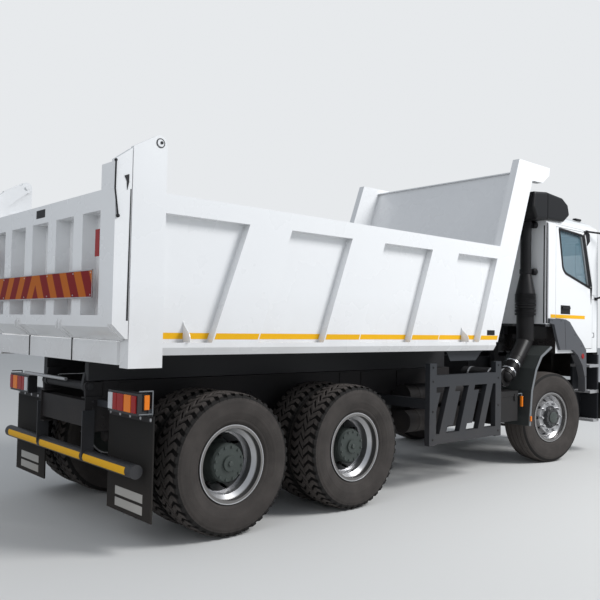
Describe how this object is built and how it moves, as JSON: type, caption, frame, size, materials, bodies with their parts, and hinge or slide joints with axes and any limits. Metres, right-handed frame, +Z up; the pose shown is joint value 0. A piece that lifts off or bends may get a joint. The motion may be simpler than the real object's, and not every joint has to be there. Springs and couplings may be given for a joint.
{
  "type": "three-axle tipper truck",
  "caption": "Forward-control three-axle truck with a steel tipping bed, a top-hung tailgate, a tilting cab with opening doors and steered front wheels.",
  "frame": {"origin": "on the ground under the middle of the truck's length and width", "axes": "+X forward, +Y to the truck's left, +Z up"},
  "size_m": [7.475, 2.88, 3.567],
  "materials": {
    "black_frame": "satin",
    "black_plastic": "matt",
    "board_paint": "satin",
    "charcoal": "satin",
    "chrome_rod": "polished",
    "cloth": "woven",
    "flap_rubber": "matt",
    "glass": "clear",
    "grey_plastic": "matt",
    "iron": "rough",
    "lamp_lens": "clear",
    "rim_silver": "satin",
    "step_metal": "brushed",
    "tyre": "matt",
    "white_paint": "gloss"
  },
  "bodies": {
    "chassis": {"frame_rails": "black_frame", "crossmembers": "black_frame", "subframe": "black_frame", "front_axle": "iron", "leaf_springs": "iron", "drive_axles": "iron", "propshafts": "black_frame", "engine_block": "iron", "front_bumper": "charcoal", "lamps": "lamp_lens", "cab_mounts": "black_frame", "cab_steps": "step_metal", "side_guards": "charcoal", "fuel_tank": "charcoal", "air_tanks": "black_frame", "battery_box": "black_plastic", "front_mudguards": "black_plastic", "underrun_bar": "charcoal", "mud_flaps": "flap_rubber", "intake_lower": "black_plastic"},
    "cab": {"cab_shell": "white_paint", "cab_glass": "glass", "dashboard": "black_plastic", "seats": "cloth", "steering_wheel": "black_plastic", "grille": "black_plastic", "cab_arches": "grey_plastic", "mirrors": "black_plastic", "intake_upper": "black_plastic"},
    "door_right": {"door_right": "white_paint", "door_glass_right": "glass"},
    "door_left": {"door_left": "white_paint", "door_glass_left": "glass"},
    "bed": {"bed_floor": "white_paint", "bed_side_right": "white_paint", "bed_side_left": "white_paint", "headboard": "white_paint", "rear_frame": "white_paint"},
    "tailgate": {"tailgate": "white_paint", "marker_board": "board_paint"},
    "hoist_barrel": {"hoist_barrel": "black_frame"},
    "hoist_rod": {"hoist_rod": "chrome_rod"},
    "knuckle_right": {"knuckle_right": "iron"},
    "knuckle_left": {"knuckle_left": "iron"},
    "track_rod": {"track_rod": "iron"},
    "front_wheel_right": {"front_tyre_right": "tyre", "front_wheel_right": "rim_silver"},
    "front_wheel_left": {"front_tyre_left": "tyre", "front_wheel_left": "rim_silver"},
    "mid_wheel_right": {"mid_tyres_right": "tyre", "mid_wheels_right": "rim_silver"},
    "mid_wheel_left": {"mid_tyres_left": "tyre", "mid_wheels_left": "rim_silver"},
    "rear_wheel_right": {"rear_tyres_right": "tyre", "rear_wheels_right": "rim_silver"},
    "rear_wheel_left": {"rear_tyres_left": "tyre", "rear_wheels_left": "rim_silver"}
  },
  "joints": [
    {"name": "cab_tilt", "type": "hinge", "parent": "chassis", "child": "cab", "pos_m": [3.6405, 0, 0.93], "axis": [0, 1, 0], "range_deg": [0, 55]},
    {"name": "door_right_swing", "type": "hinge", "parent": "cab", "child": "door_right", "pos_m": [3.3355, -1.138, 1.8], "axis": [0, 0, 1], "range_deg": [0, 70]},
    {"name": "door_left_swing", "type": "hinge", "parent": "cab", "child": "door_left", "pos_m": [3.3355, 1.138, 1.8], "axis": [0, 0, -1], "range_deg": [0, 70]},
    {"name": "bed_tip", "type": "hinge", "parent": "chassis", "child": "bed", "pos_m": [-3.4495, 0, 1.11], "axis": [0, -1, 0], "range_deg": [0, 45]},
    {"name": "tailgate_swing", "type": "hinge", "parent": "bed", "child": "tailgate", "pos_m": [-3.3775, 0, 2.875], "axis": [0, 1, 0], "range_deg": [0, 60]},
    {"name": "hoist_swing", "type": "hinge", "parent": "chassis", "child": "hoist_barrel", "pos_m": [-2.4595, 0, 0.86], "axis": [0, -1, 0], "range_deg": [0, 57.94]},
    {"name": "hoist_extend", "type": "slide", "parent": "hoist_barrel", "child": "hoist_rod", "axis": [0.9694, 0, 0.2456], "range_m": [0, 0.6631]},
    {"name": "steer_right", "type": "hinge", "parent": "chassis", "child": "knuckle_right", "pos_m": [2.2905, -0.905, 0.548], "axis": [0, 0, 1], "range_deg": [-28.6, 47.4]},
    {"name": "steer_left", "type": "hinge", "parent": "chassis", "child": "knuckle_left", "pos_m": [2.2905, 0.905, 0.548], "axis": [0, 0, 1], "range_deg": [-28.6, 47.4]},
    {"name": "track_rod_swing", "type": "hinge", "parent": "knuckle_right", "child": "track_rod", "pos_m": [2.11785, -0.87642, 0.405], "axis": [0, 0, 1], "range_deg": [-47.4, 28.6]},
    {"name": "front_right_spin", "type": "hinge", "parent": "knuckle_right", "child": "front_wheel_right", "pos_m": [2.2905, -0.905, 0.548], "axis": [0.1633, 0.9866, 0], "continuous": true},
    {"name": "front_left_spin", "type": "hinge", "parent": "knuckle_left", "child": "front_wheel_left", "pos_m": [2.2905, 0.905, 0.548], "axis": [0.1633, 0.9866, 0], "continuous": true},
    {"name": "mid_right_spin", "type": "hinge", "parent": "chassis", "child": "mid_wheel_right", "pos_m": [-1.3095, -0.917, 0.548], "axis": [0, 1, 0], "continuous": true},
    {"name": "mid_left_spin", "type": "hinge", "parent": "chassis", "child": "mid_wheel_left", "pos_m": [-1.3095, 0.917, 0.548], "axis": [0, 1, 0], "continuous": true},
    {"name": "rear_right_spin", "type": "hinge", "parent": "chassis", "child": "rear_wheel_right", "pos_m": [-2.6595, -0.917, 0.548], "axis": [0, 1, 0], "continuous": true},
    {"name": "rear_left_spin", "type": "hinge", "parent": "chassis", "child": "rear_wheel_left", "pos_m": [-2.6595, 0.917, 0.548], "axis": [0, 1, 0], "continuous": true}
  ],
  "couplings": [
    {"joint": "hoist_swing", "follows": "bed_tip", "ratio": 1.2865},
    {"joint": "hoist_extend", "follows": "bed_tip", "m_per_rad": 0.84299},
    {"joint": "steer_left", "follows": "steer_right", "ratio": 1},
    {"joint": "track_rod_swing", "follows": "steer_right", "ratio": -1}
  ]
}
